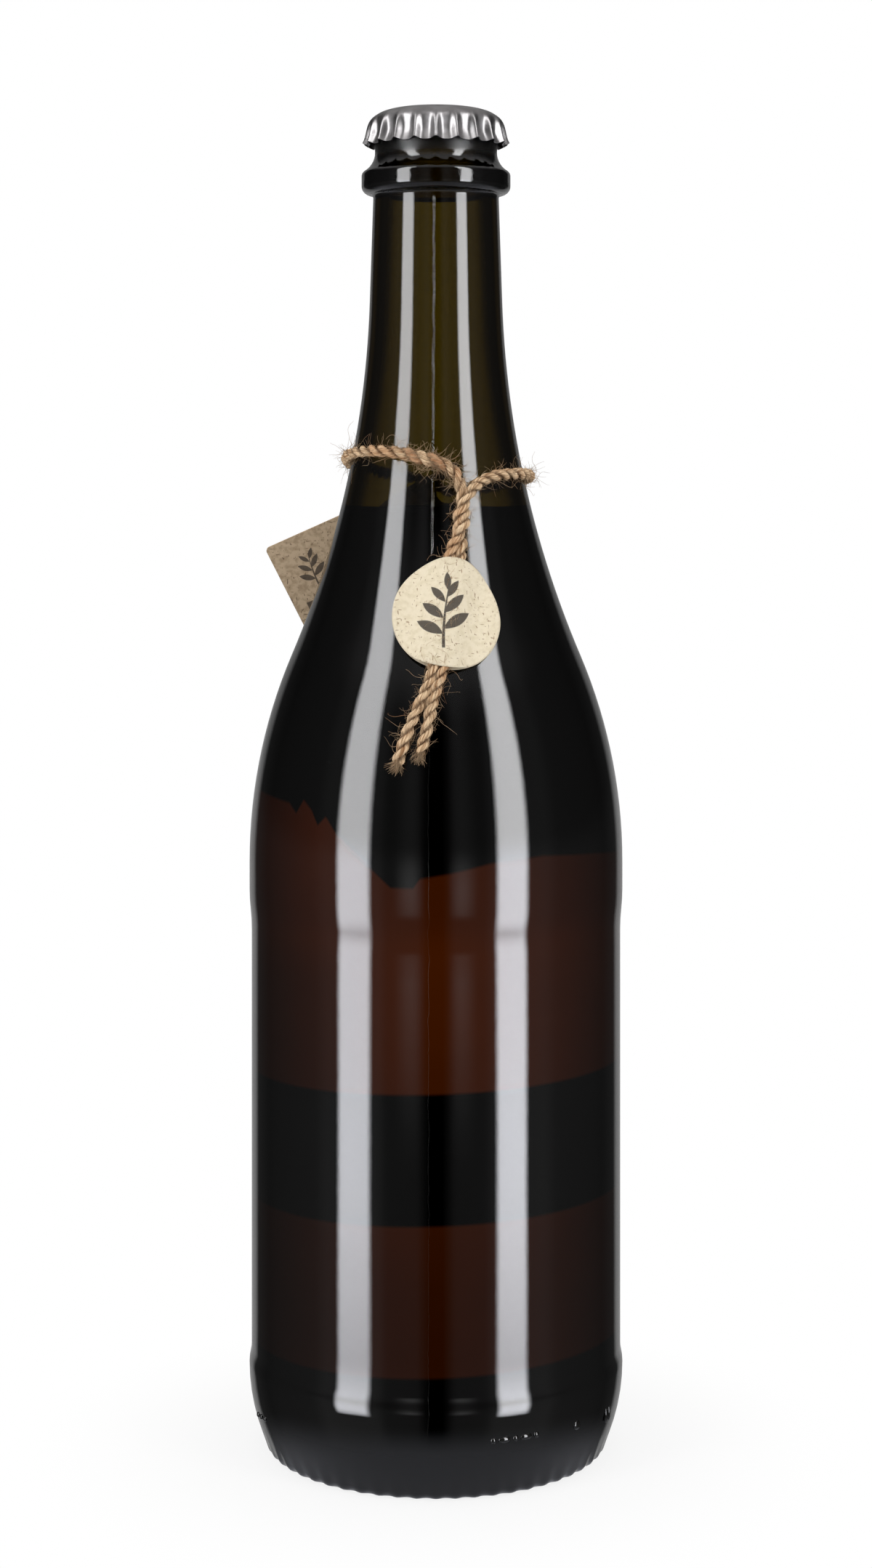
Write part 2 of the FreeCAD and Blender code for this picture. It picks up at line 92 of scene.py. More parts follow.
class Tree:
    def __init__(self, owner):
        owner.use_nodes = True
        self.nodes, self.links = owner.node_tree.nodes, owner.node_tree.links
        self.nodes.clear()

    def node(self, kind, settings=None, sockets=None, output=0):
        made = self.nodes.new("ShaderNode" + kind)
        for name, value in (settings or {}).items():
            if name == "stops":
                elements = made.color_ramp.elements
                while len(elements) < len(value):
                    elements.new(1.0)
                for element, (place, result) in zip(elements, value):
                    element.position = place
                    element.color = (result, result, result, 1)
            else:
                setattr(made, name, value)
        for name, value in (sockets or {}).items():
            socket = made.inputs[name]
            if isinstance(value, Value):
                self.links.new(value.socket, socket)
            elif isinstance(value, tuple) and socket.type == "RGBA":
                socket.default_value = (*value, 1)
            else:
                socket.default_value = value
        return Value(self, made.outputs[output])

    def vector(self, operation, first, second, output=0):
        return self.node("VectorMath", {"operation": operation}, {0: first, 1: second}, output)

    def blend(self, first, second, factor, mode="MIX"):
        # two colours; the sockets are numbered because their names repeat
        return self.node("Mix", {"data_type": "RGBA", "blend_type": mode},
                         {0: factor, 6: first, 7: second}, 2)

    def place(self):
        # Object coordinates in millimetres
        return self.vector("MULTIPLY", self.node("TexCoord", output=3), (1 / mm,) * 3)

    def parts(self, vector):
        split = self.node("SeparateXYZ", sockets={0: vector}).socket.node
        return [Value(self, socket) for socket in split.outputs]

    def azimuth(self, x, y):
        return x.maths("ARCTAN2", x, y * -1) * (180 / math.pi)

    def noise(self, vector, size, detail=2.0, stretch=None, roughness=0.5):
        # grey noise whose grains are about as large as size
        if stretch:
            vector = self.vector("MULTIPLY", vector, stretch)
        return self.node("TexNoise", sockets={"Vector": vector, "Scale": 1 / size,
                                              "Detail": detail, "Roughness": roughness})

    def bump(self, height, depth):
        # height 0 to 1 stands for a depth in millimetres
        return self.node("Bump", sockets={"Height": height, "Distance": depth * mm,
                                          "Strength": 1.0})

    def finish(self, surface, volume=None, kind="OutputMaterial"):
        end = self.nodes.new("ShaderNode" + kind)
        self.links.new(surface.socket, end.inputs["Surface"])
        if volume:
            self.links.new(volume.socket, end.inputs["Volume"])


def material(name, **constants):
    # a Principled material whose plain numbers and colours sit on its own sockets
    made = bpy.data.materials.new(name)
    tree = Tree(made)
    return made, tree, constants


def principled(tree, constants, **linked):
    sockets = {**constants, **linked}
    return tree.node("BsdfPrincipled", sockets={
        " ".join(word if word.isupper() else word.capitalize() for word in name.split("_")): value
        for name, value in sockets.items()})


def paint(red, green, blue):
    # a colour as the eye reads it, 0-255, as linear light
    return tuple((((v / 255) + 0.055) / 1.055) ** 2.4 if v > 10 else v / 3294.6
                 for v in (red, green, blue))


studio = {
    "cameraDistance": 643.4, "cameraHeight": 215.5, "focalLength": 66.23, "shift": -0.1965,
    "dayLevel": 0.66,               # even light from all round
    # what gloss shows: two soft boxes, each from and to in azimuth, and how bright
    "boxes": ((-62.0, -41.0, 0.87), (38.0, 57.0, 1.0)), "boxSoft": 2.5,
    "boxFoot": (-19.2, -17.8), "boxFall": (-24.0, -13.0), "boxTop": (49.0, 55.0),
    "boxLevel": 14.5, "boxLow": (0.99, 1.0, 1.055), "boxHigh": (0.8, 0.8, 0.81),
    "boxChange": (-5.0, 3.0),       # the height at which a box goes from its low to its high colour
    # the room between them: how bright by azimuth away from the front, and dimmer higher up
    "room": [(4, 0.0), (12, 0.14), (30, 0.15), (36, 0.27), (70, 0.27), (80, 0.17), (125, 0.05),
             (145, 0.05), (152, 0.4)],
    "roomChange": (-5.0, 1.0, 1.0, 0.66),
    "patch": (6.0, 15.0, 27.0, 0.55), "patchRise": (-14.0, -8.0, 1.0, 0.15),
    "ground": (0.52, 0.53, 0.58), "groundChange": (-44.0, -24.0),
    "ceiling": (0.7, 0.69, 0.69), "ceilingChange": (26.0, 56.0),
    # what shows through glass: white in a band behind, dim elsewhere
    "dim": (0.14, 0.14, 0.14), "backdrop": (148.0, 164.0),
    "floorGrey": (0.8, 0.8, 0.8),
    "floorShade": 0.16,             # how much of the floor's white is lit, and so can be in shadow
    "shadeReach": (44.0, 95.0),     # where that share fades, in millimetres from the axis
    # area lamps: azimuth, height in degrees, width and height in metres, watts
    "lamps": {"keyLeft": (-48, 22, 0.35, 0.9, 4.6), "keyRight": (48, 22, 0.35, 0.9, 3.2),
              "topLight": (0, 75, 0.8, 0.8, 2.6)},
    "lampDistance": 1.3, "lampAim": 0.15,
}
white = (1.0, 1.0, 1.0)
black = (0.0, 0.0, 0.0)


def makeCamera():
    bpy.ops.object.camera_add(
        location=(0, -studio["cameraDistance"] * mm, studio["cameraHeight"] * mm),
        rotation=(math.radians(90), 0, 0))
    camera = bpy.context.object
    camera.name = "camera"
    camera.data.sensor_fit = "VERTICAL"
    camera.data.sensor_height = 36
    camera.data.lens = studio["focalLength"]
    camera.data.shift_y = studio["shift"]
    camera.data.clip_start = 0.01
    bpy.context.scene.camera = camera


def makeWorld():
    # a white room that gloss sees as dim, with two tall soft boxes in front
    world = bpy.data.worlds.new("studio")
    bpy.context.scene.world = world
    tree = Tree(world)
    x, y, z = tree.parts(tree.node("TexCoord"))
    azimuth = tree.azimuth(x, y)
    height = z.maths("ARCSINE", z) * (180 / math.pi)
    side = abs(azimuth)
    left, right = (azimuth.band(start, end, studio["boxSoft"]) * level
                   for start, end, level in studio["boxes"])
    boxes = (left + right) * height.step(*studio["boxFoot"]) * height.step(*studio["boxFall"])
    boxes = boxes * height.step(*studio["boxTop"], 1.0, 0.0)
    near, middle, far, bright = studio["patch"]
    patch = side.step(near, middle) * side.step(middle, far, bright, 0.0)
    foot, full, gone, rest = studio["patchRise"]
    patch = patch * height.step(foot, full) * height.step(full, gone, 1.0, rest)
    room = side.ramp(studio["room"], 0.0, 180.0) * height.step(*studio["roomChange"]) + patch
    room = tree.blend(room, studio["ground"], height.step(*studio["groundChange"], 1.0, 0.0))
    room = tree.blend(room, studio["ceiling"], height.step(*studio["ceilingChange"]))
    lowBox, highBox = (tuple(studio["boxLevel"] * part for part in studio[name])
                       for name in ("boxLow", "boxHigh"))
    box = tree.blend(lowBox, highBox, height.step(*studio["boxChange"]))
    behind = tree.blend(studio["dim"], white, side.step(*studio["backdrop"]))
    colour = (studio["dayLevel"],) * 3
    path = tree.node("LightPath").socket.node.outputs
    for ray, seen in (("Glossy", tree.blend(room, box, boxes)), ("Transmission", behind),
                      ("Camera", white)):
        colour = tree.blend(colour, seen, Value(tree, path["Is " + ray + " Ray"]))
    tree.finish(tree.node("Background", sockets={"Color": colour}), kind="OutputWorld")


def makeFloor():
    bpy.ops.mesh.primitive_plane_add(size=8, location=(0, 0, -0.02 * mm))
    floor = bpy.context.object
    floor.name = "floor"
    made = bpy.data.materials.new("floorWhite")
    tree = Tree(made)
    path = tree.node("LightPath").socket.node.outputs
    camera, glossy = Value(tree, path["Is Camera Ray"]), Value(tree, path["Is Glossy Ray"])
    away = tree.vector("LENGTH", tree.place(), black, "Value")
    shade = away.step(*studio["shadeReach"], studio["floorShade"], 0.0)
    lit = tree.node("BsdfDiffuse", sockets={
        "Color": tree.blend(studio["floorGrey"], shade, camera)})
    own = tree.node("Emission", sockets={"Color": white, "Strength": camera * (1 - shade)})
    both = tree.node("AddShader", sockets={0: lit, 1: own})
    tree.finish(tree.node("MixShader", sockets={
        0: glossy, 1: both, 2: tree.node("BsdfTransparent")}))
    floor.data.materials.append(made)


def makeLamp(name, azimuth, rise, width, height, power):
    angle, lift = math.radians(azimuth), math.radians(rise)
    place = Vector((math.sin(angle) * math.cos(lift), -math.cos(angle) * math.cos(lift),
                    math.sin(lift))) * studio["lampDistance"]
    bpy.ops.object.light_add(type="AREA", location=place + Vector((0, 0, studio["lampAim"])))
    lamp = bpy.context.object
    lamp.name = name
    lamp.rotation_euler = (-place).to_track_quat("-Z", "Y").to_euler()
    lamp.data.shape = "RECTANGLE"
    lamp.data.size, lamp.data.size_y = width, height
    lamp.data.energy = power
    lamp.visible_glossy = lamp.visible_transmission = lamp.visible_camera = False


makeCamera()
makeWorld()
makeFloor()
for name, values in studio["lamps"].items():
    makeLamp(name, *values)
print("studio ready")


def polar(centre, radius, degrees):
    angle = math.radians(degrees)
    return centre[0] + radius * math.cos(angle), centre[1] + radius * math.sin(angle)


def arc(centre, radius, start, end):
    # points of an arc after its first, as fine as its bend needs
    turn = abs(end - start)
    count = max(2, math.ceil(turn / 9), math.ceil(math.radians(turn) * radius / 3.2))
    return [polar(centre, radius, start + (end - start) * i / count) for i in range(1, count + 1)]


def step(start, end):
    # two equal arcs between two upright stretches
    rise, run = end[1] - start[1], end[0] - start[0]
    radius = (rise * rise + run * run) / (4 * abs(run))
    turn = math.degrees(math.asin(rise / 2 / radius))
    if run > 0:
        return (arc((start[0] + radius, start[1]), radius, 180, 180 - turn)
                + arc((end[0] - radius, end[1]), radius, -turn, 0))
    return (arc((start[0] - radius, start[1]), radius, 0, turn)
            + arc((end[0] + radius, end[1]), radius, 180 + turn, 180))


def rising(radius, low, high):
    count = max(1, math.ceil((high - low) / 6))
    return [(radius, low + (high - low) * i / count) for i in range(1, count + 1)]


glass = {
    "body": 41.5, "panelInset": 0.5, "bearingInset": 6.75, "bearingWidth": 1.75,
    "heelCorner": 3.3, "heel": 40.65, "panelStep": 4.0, "panelHeight": 92.0,
    "ringStep": 9.0, "ringHeight": 5.9, "shoulder": 116.8, "sweep": 219.8,
    "neck": 14.0, "taper": 1.93, "neckLength": 23.1,
    "collarStand": 2.6, "collarFillet": 0.8, "collarLow": 1.9, "collarBand": 2.2,
    "collarHigh": 1.3, "lipOverhang": 0.4, "waistSweep": 5.0, "lip": 14.0, "lipRise": 4.4,
    "lipLand": 1.4, "lipRounding": 2.6, "bore": 9.4, "boreCorner": 0.8, "boreLength": 9.0,
    "wall": 3.4, "puntDepth": 20.0, "puntCorner": 4.0, "base": 5.0, "innerHeel": 5.0,
    "steps": 336,                   # round the axis, six to each knurl
    "knurls": 56, "knurlRise": 0.36, "knurlRadius": 37.0, "knurlReach": 1.6, "knurlTop": 4.0,
    # the surface, in millimetres: long waves, fine unevenness on the sides and more on the collar
    "waves": 0.1, "peel": 0.004, "collarPeel": 0.05,
    "seamEdge": (0.05, 0.26), "seamPlace": -2.8, "seamWander": 1.6, "seamFade": (194.0, 206.0),
    "seamRise": (0.01, 0.11),
    "dullAbove": (8.6, 10.6), "rough": (0.03, 0.42),    # the lip under the cap is dull
    "tint": (0.492, 0.43, 0.0), "density": 1000.0,
}


class Bottle:
    # the places on the glass that follow from its sizes
    def __init__(self, g):
        self.taper = math.radians(g["taper"])
        self.across = (math.cos(self.taper), math.sin(self.taper))
        bearing = g["body"] - g["bearingInset"]
        self.heelTop = g["heelCorner"] + math.sqrt(
            (g["heel"] - g["heelCorner"]) ** 2 - (bearing - g["body"] + g["heel"]) ** 2)
        self.panel = g["body"] - g["panelInset"]
        self.panelLow = self.heelTop + g["panelStep"]
        self.panelHigh = self.panelLow + g["panelHeight"]
        self.ringLow = self.panelHigh + g["ringStep"]
        self.shoulderLow = self.ringLow + g["ringHeight"]
        footRadius = g["neck"] + g["neckLength"] * math.tan(self.taper)
        self.shoulder = (g["body"] - g["shoulder"], self.shoulderLow)
        run = footRadius + g["sweep"] * self.across[0] - self.shoulder[0]
        rise = math.sqrt((g["shoulder"] + g["sweep"]) ** 2 - run ** 2)
        self.sweep = (self.shoulder[0] + run, self.shoulder[1] + rise)
        self.bend = math.degrees(math.atan2(rise, run))
        self.bendHeight = polar(self.shoulder, g["shoulder"], self.bend)[1]
        self.neckFoot = (self.sweep[0] - self.across[0] * g["sweep"],
                         self.sweep[1] - self.across[1] * g["sweep"])
        self.neckTop = self.neckFoot[1] + g["neckLength"]
        self.bearing = bearing

    def radius(self, height):
        if height >= self.neckFoot[1]:
            return glass["neck"] + (self.neckTop - height) * math.tan(self.taper)
        if height >= self.bendHeight:
            return self.sweep[0] - math.sqrt(glass["sweep"] ** 2 - (height - self.sweep[1]) ** 2)
        return self.shoulder[0] + math.sqrt(glass["shoulder"] ** 2
                                            - (height - self.shoulder[1]) ** 2)

    def lean(self, height):
        if height >= self.neckFoot[1]:
            return self.taper
        if height >= self.bendHeight:
            return math.asin((self.sweep[1] - height) / glass["sweep"])
        return math.asin((height - self.shoulder[1]) / glass["shoulder"])

    def side(self, inwards):
        # from the body to the collar, moved into the glass
        top = (glass["neck"] - self.across[0] * inwards, self.neckTop - self.across[1] * inwards)
        return (arc(self.shoulder, glass["shoulder"] - inwards, 0, self.bend)
                + arc(self.sweep, glass["sweep"] + inwards, 180 + self.bend, 180 + glass["taper"])
                + [((self.radius(z) - inwards * self.across[0]), z - inwards * self.across[1])
                   for _, z in rising(0, self.neckFoot[1], self.neckTop - 0.01)] + [top])

    def finish(self):
        # collar, waist and lip, up to the top of the bore
        g = glass
        fillet = (g["neck"] + self.across[0] * g["collarFillet"],
                  self.neckTop + self.across[1] * g["collarFillet"])
        collar, waist = g["neck"] + g["collarStand"], g["lip"] - g["lipOverhang"]
        low = (collar - g["collarLow"], fillet[1] + g["collarFillet"] + g["collarLow"])
        high = (collar - g["collarHigh"], low[1] + g["collarBand"])
        turn = math.degrees(math.acos((waist + g["waistSweep"] - high[0])
                                      / (g["collarHigh"] + g["waistSweep"])))
        hollow = polar(high, g["collarHigh"] + g["waistSweep"], turn)
        widest = (g["lip"], hollow[1] + g["lipRise"])
        crown = (g["lip"] - g["lipRounding"], widest[1] + g["lipLand"])
        self.mouth = crown[1] + g["lipRounding"]
        return (arc(fillet, g["collarFillet"], 180 + g["taper"], 90)
                + [(low[0], low[1] - g["collarLow"])]
                + arc(low, g["collarLow"], -90, 0) + [(collar, high[1])]
                + arc(high, g["collarHigh"], 0, turn)
                + arc(hollow, g["waistSweep"], 180 + turn, 180)
                + step((waist, hollow[1]), widest) + [(g["lip"], crown[1])]
                + arc(crown, g["lipRounding"], 0, 90)
                + [(g["bore"] + g["boreCorner"], self.mouth)])

    def foot(self):
        # from the middle of the punt round the bearing ring to the upper contact ring
        g = glass
        rim = (self.bearing - g["bearingWidth"], g["puntCorner"])
        self.domeRadius = ((rim[0] ** 2 + g["puntDepth"] ** 2
                            - 2 * g["puntCorner"] * g["puntDepth"]) / (2 * g["puntDepth"]))
        self.dome = (0, g["puntDepth"] - self.domeRadius)
        turn = math.degrees(math.atan2(rim[1] - self.dome[1], rim[0]))
        heel, corner = (g["body"] - g["heel"], self.heelTop), (self.bearing, g["heelCorner"])
        cornerTurn = math.degrees(math.atan2(corner[1] - heel[1], corner[0] - heel[0]))
        return ([(0, g["puntDepth"])] + arc(self.dome, self.domeRadius, 90, turn)
                + arc(rim, g["puntCorner"], turn + 180, 270) + [(self.bearing, 0)]
                + arc(corner, g["heelCorner"], -90, cornerTurn)
                + arc(heel, g["heel"], cornerTurn, 0)
                + step((g["body"], self.heelTop), (self.panel, self.panelLow))
                + rising(self.panel, self.panelLow, self.panelHigh)
                + step((self.panel, self.panelHigh), (g["body"], self.ringLow))
                + [(g["body"], self.shoulderLow)])

    def inside(self, outwards=0.0):
        # the cavity from the middle of its floor to the neck, moved out into the glass
        g = glass
        dome, corner = self.domeRadius + g["base"] - outwards, g["innerHeel"] + outwards
        radius = g["body"] - g["wall"]
        middle = (radius - g["innerHeel"], self.dome[1] + math.sqrt(
            (dome + corner) ** 2 - (radius - g["innerHeel"]) ** 2))
        turn = math.degrees(math.atan2(middle[1] - self.dome[1], middle[0]))
        return ([(0, self.dome[1] + dome)] + arc(self.dome, dome, 90, turn)
                + arc(middle, corner, turn + 180, 360)
                + rising(radius + outwards, middle[1], self.shoulderLow)
                + self.side(g["wall"] - outwards))


bottle = Bottle(glass)


def lathe(name, profile, steps):
    # a vertex extruded along a profile of (radius, height), spun round the axis
    bpy.ops.object.select_all(action="DESELECT")
    bpy.ops.mesh.primitive_plane_add(size=mm)
    piece = bpy.context.object
    piece.name = name
    bpy.ops.object.mode_set(mode="EDIT")
    bpy.ops.mesh.merge(type="CENTER")
    bpy.ops.transform.translate(value=(profile[0][0] * mm, 0, profile[0][1] * mm))
    for before, after in zip(profile, profile[1:]):
        bpy.ops.mesh.extrude_vertices_move(TRANSFORM_OT_translate={
            "value": ((after[0] - before[0]) * mm, 0, (after[1] - before[1]) * mm)})
    bpy.ops.mesh.select_all(action="SELECT")
    bpy.ops.mesh.spin(steps=steps, angle=2 * math.pi, center=(0, 0, 0), axis=(0, 0, 1))
    bpy.ops.mesh.select_all(action="SELECT")
    bpy.ops.mesh.remove_doubles(threshold=0.002 * mm)
    bpy.ops.mesh.normals_make_consistent(inside=False)
    bpy.ops.mesh.faces_shade_smooth()
    bpy.ops.object.mode_set(mode="OBJECT")
    return piece


def swell(piece, weight, rise):
    # pushes vertices out along their normals: weight gives 0 to 1 for a place in millimetres
    group = piece.vertex_groups.new(name="swell")
    for vertex in piece.data.vertices:
        amount = weight(vertex.co / mm)
        if amount > 0.001:
            group.add([vertex.index], amount, "REPLACE")
    bpy.ops.object.select_all(action="DESELECT")
    piece.select_set(True)
    bpy.context.view_layer.objects.active = piece
    modifier = piece.modifiers.new("swell", "DISPLACE")
    modifier.vertex_group = "swell"
    modifier.mid_level, modifier.strength = 0, rise * mm
    bpy.ops.object.modifier_apply(modifier="swell")
    piece.vertex_groups.clear()


def azimuthOf(point):
    return math.degrees(math.atan2(point.x, -point.y))


def hump(distance, reach):
    return 0.0 if abs(distance) >= reach else 0.5 + 0.5 * math.cos(math.pi * distance / reach)


def makeGlass():
    g = glass
    outside = bottle.foot() + bottle.side(0) + bottle.finish()
    boreTop, boreLow = bottle.mouth - g["boreCorner"], bottle.mouth - g["boreLength"]
    inside = bottle.inside()
    bore = (step(inside[-1], (g["bore"], boreLow)) + [(g["bore"], boreTop)]
            + arc((g["bore"] + g["boreCorner"], boreTop), g["boreCorner"], 180, 90)[:-1])
    shell = lathe("glassShell", outside + bore[::-1] + inside[::-1], g["steps"])

    def knurl(point):
        off = math.hypot(point.x, point.y) - g["knurlRadius"]
        if point.z > g["knurlTop"] or off < -g["knurlReach"]:
            return 0.0
        turn = azimuthOf(point) * g["knurls"] / 360
        return hump(off, g["knurlReach"]) * (0.5 + 0.5 * math.cos(2 * math.pi * turn))

    swell(shell, knurl, g["knurlRise"])
    return shell


def dressGlass(piece):
    g = glass
    made, tree, constants = material("bottleGlass", Base_Color=white, IOR=1.5,
                                     Transmission_Weight=1.0)
    place = tree.place()
    x, y, z = tree.parts(place)
    waves = tree.noise(place, 26.0, 1.0, (1.0, 1.0, 0.35))
    peel = tree.noise(place, 2.2, 2.0)
    collar = z.step(bottle.neckTop - 2, bottle.neckTop + 3)
    # the mould seam wanders a little on its way up, and ends at the collar
    wander = tree.noise(z, 9.0, 2.0) * g["seamWander"] + g["seamPlace"]
    around = tree.node("CombineXYZ", sockets={0: x, 1: y, 2: 0.0})
    radius = tree.vector("LENGTH", around, black, "Value")
    off = abs(tree.azimuth(x, y) - wander) * radius * (math.pi / 180)
    seam = off.step(*g["seamEdge"], 1.0, 0.0) * z.step(*g["seamFade"], *g["seamRise"])
    seam = seam * z.step(bottle.neckTop - 1.5, bottle.neckTop, 1.0, 0.0)
    height = waves * g["waves"] + peel * (collar * g["collarPeel"] + g["peel"]) + seam
    dull = z.step(*(bottle.neckTop + rise for rise in g["dullAbove"]), *g["rough"])
    surface = principled(tree, constants, Roughness=dull, Normal=tree.bump(height, 1.0))
    tree.finish(surface, tree.node("VolumeAbsorption", sockets={"Color": g["tint"],
                                                                "Density": g["density"]}))
    piece.data.materials.append(made)


shell = makeGlass()
dressGlass(shell)
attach(shell, "root")
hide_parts("bottle")
print("glass", len(shell.data.polygons), "faces")


# small raised marks on the heel

marks = {
    # azimuth, height, half the width and half the height
    "places": ((-74, 9.8, 0.6, 0.6), (-70, 10.2, 0.6, 0.6), (-66, 10.6, 0.6, 0.6),
               (17, 13.4, 0.65, 0.65), (20.5, 13.4, 1.4, 0.65), (24, 13.4, 0.65, 0.65),
               (27.5, 13.4, 1.4, 0.65), (31, 13.4, 0.65, 0.65), (47, 13.0, 1.0, 1.0),
               (64, 12.0, 0.5, 1.8), (66.5, 12.0, 0.5, 1.8)),
    "rise": 0.4, "dark": (0.002, 0.002, 0.0015), "pale": (0.005, 0.005, 0.004),
}


def makeMarks():
    pieces = []
    for azimuth, height, width, tall in marks["places"]:
        angle = math.radians(azimuth)
        radius = glass["body"] - glass["heel"] + math.sqrt(
            glass["heel"] ** 2 - (bottle.heelTop - height) ** 2)
        bpy.ops.object.select_all(action="DESELECT")
        bpy.ops.mesh.primitive_uv_sphere_add(
            segments=20, ring_count=12, radius=mm, rotation=(0, 0, angle),
            location=(radius * math.sin(angle) * mm, -radius * math.cos(angle) * mm, height * mm),
            scale=(width, marks["rise"], tall))
        bpy.ops.object.shade_smooth()
        pieces.append(bpy.context.object)
    for piece in pieces:
        piece.select_set(True)
    bpy.ops.object.join()
    bpy.ops.object.transform_apply(location=True, rotation=True, scale=True)
    piece = bpy.context.object
    piece.name = "heelMarks"
    return piece


def dressMarks(piece):
    # solid dark glass, because there is only dark wall behind each mark
    made, tree, constants = material("heelGlass", IOR=1.5, Roughness=0.06)
    cloud = tree.noise(tree.place(), 0.8, 2.0)
    colour = tree.blend(marks["dark"], marks["pale"], cloud)
    tree.finish(principled(tree, constants, Base_Color=colour))
    piece.data.materials.append(made)


heelMarks = makeMarks()
dressMarks(heelMarks)
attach(heelMarks, "root")


wine = {
    "drop": 88.2, "reach": 0.3, "steps": 144, "meniscus": 0.7,
    "black": (0.002, 0.0018, 0.0016), "paintedLabelGlow": (0.3, 0.05, 0.03), "paintedGlowEmission": (0.15, 0.031, 0.004),
    # painted light: the back labels, lit from behind and seen through the wine, painted on the core
    # as colour and emission; azimuth and height of the torn top edge
    "edge": [(-75, 146), (-54, 145), (-50, 143), (-47, 146), (-43, 144), (-40, 141), (-37, 143),
             (-32, 139), (-19, 132), (-14, 129), (-7, 129), (-5, 131), (4, 132), (17, 134),
             (35, 135), (58, 134), (75, 133)],
    "edgeRange": (120.0, 150.0),
    "upperFoot": 85.9, "lowerFoot": 26.4, "lowerTop": 58.2, "tilt": 0.032, "soft": 0.5,
    # the painted glow is strongest at the front and higher up, like light falling from above, and
    # stronger still in the upper left
    "sideways": (4.0, 80.0, 1.0, 0.22), "upwards": (28.0, 127.0, 0.4, 1.0),
    "corner": (104.0, 135.0, 0.7, 1.5), "cornerEdge": (-40.0, -15.0),
    "frontEdge": (80.0, 92.0),      # nothing shows on the back half
}


def makeWine():
    w = wine
    top = bottle.mouth - w["drop"]
    side = [point for point in bottle.inside(w["reach"]) if point[1] < top - 0.5]
    edge = bottle.radius(top) - glass["wall"] + w["reach"]
    rim = ((0, 1), (0.7, 0.35), (1.8, 0.1), (3.5, 0), (edge / 2, 0), (edge, 0))
    surface = [(edge - away, top + share * w["meniscus"]) for away, share in rim]
    return lathe("wineCore", side + surface, w["steps"])


def dressWine(piece):
    w = wine
    made, tree, constants = material("darkWine", Roughness=0.1, Specular_IOR_Level=0.0,
                                     Emission_Strength=1.0)
    place = tree.place()
    x, y, z = tree.parts(place)
    azimuth = tree.azimuth(x, y)
    low, high = w["edgeRange"]
    edge = azimuth.ramp([(a, (h - low) / (high - low)) for a, h in w["edge"]], -90.0, 90.0)
    level = z - (edge * (high - low) + low)
    askew = z - x * w["tilt"]
    upper = (level.step(-w["soft"], w["soft"], 1.0, 0.0)
             * askew.step(w["upperFoot"] - w["soft"], w["upperFoot"] + w["soft"]))
    lower = askew.band(w["lowerFoot"], w["lowerTop"], w["soft"])
    corner = azimuth.step(*w["cornerEdge"], 1.0, 0.0)
    across = abs(azimuth).step(*w["sideways"]) * z.step(*w["upwards"])
    across = across * (z.step(*w["corner"]) * corner + (1 - corner))
    cloud = tree.noise(place, 14.0, 3.0) * 0.3 + 0.85
    front = abs(azimuth).step(*w["frontEdge"], 1.0, 0.0)
    # painted light: the glow of the lit labels behind is painted into the colour and the emission
    paintedLabelGlow = upper.either(lower) * across * cloud * front
    colour = tree.blend(w["black"], w["paintedLabelGlow"], paintedLabelGlow)
    paintedGlowEmission = tree.blend(black, w["paintedGlowEmission"], paintedLabelGlow)
    tree.finish(principled(tree, constants, Base_Color=colour, Emission_Color=paintedGlowEmission))
    piece.data.materials.append(made)


core = makeWine()
dressWine(core)
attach(core, "root")
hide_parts("wine")
print("wine", len(core.data.polygons), "faces")


# the crown cap keeps its solid and gets bright drawn steel

cap = {"dark": (126, 124, 124), "pale": (144, 142, 142), "rough": 0.34, "bump": 0.02}


def dressCap():
    made, tree, constants = material("capSteel", Metallic=1.0)
    place = tree.place()
    grain = tree.noise(place, 0.16, 3.0, (1.0, 1.0, 0.3))
    smears = tree.noise(place, 3.5, 3.0)
    scratches = tree.noise(place, 0.5, 2.0, (0.15, 3.0, 1.0)).step(0.66, 0.7)
    colour = tree.blend(paint(*cap["dark"]), paint(*cap["pale"]), smears.step(0.35, 0.65))
    rough = cap["rough"] + smears * 0.1 + scratches * 0.1
    height = grain * 0.25 + scratches * -0.4 + smears * 0.8
    tree.finish(principled(tree, constants, Base_Color=colour, Roughness=rough,
                           Normal=tree.bump(height, cap["bump"])))
    nodes["crown_cap"].material_slots[0].material = made


dressCap()


# twine: two plies follow the route, with fibres that work loose

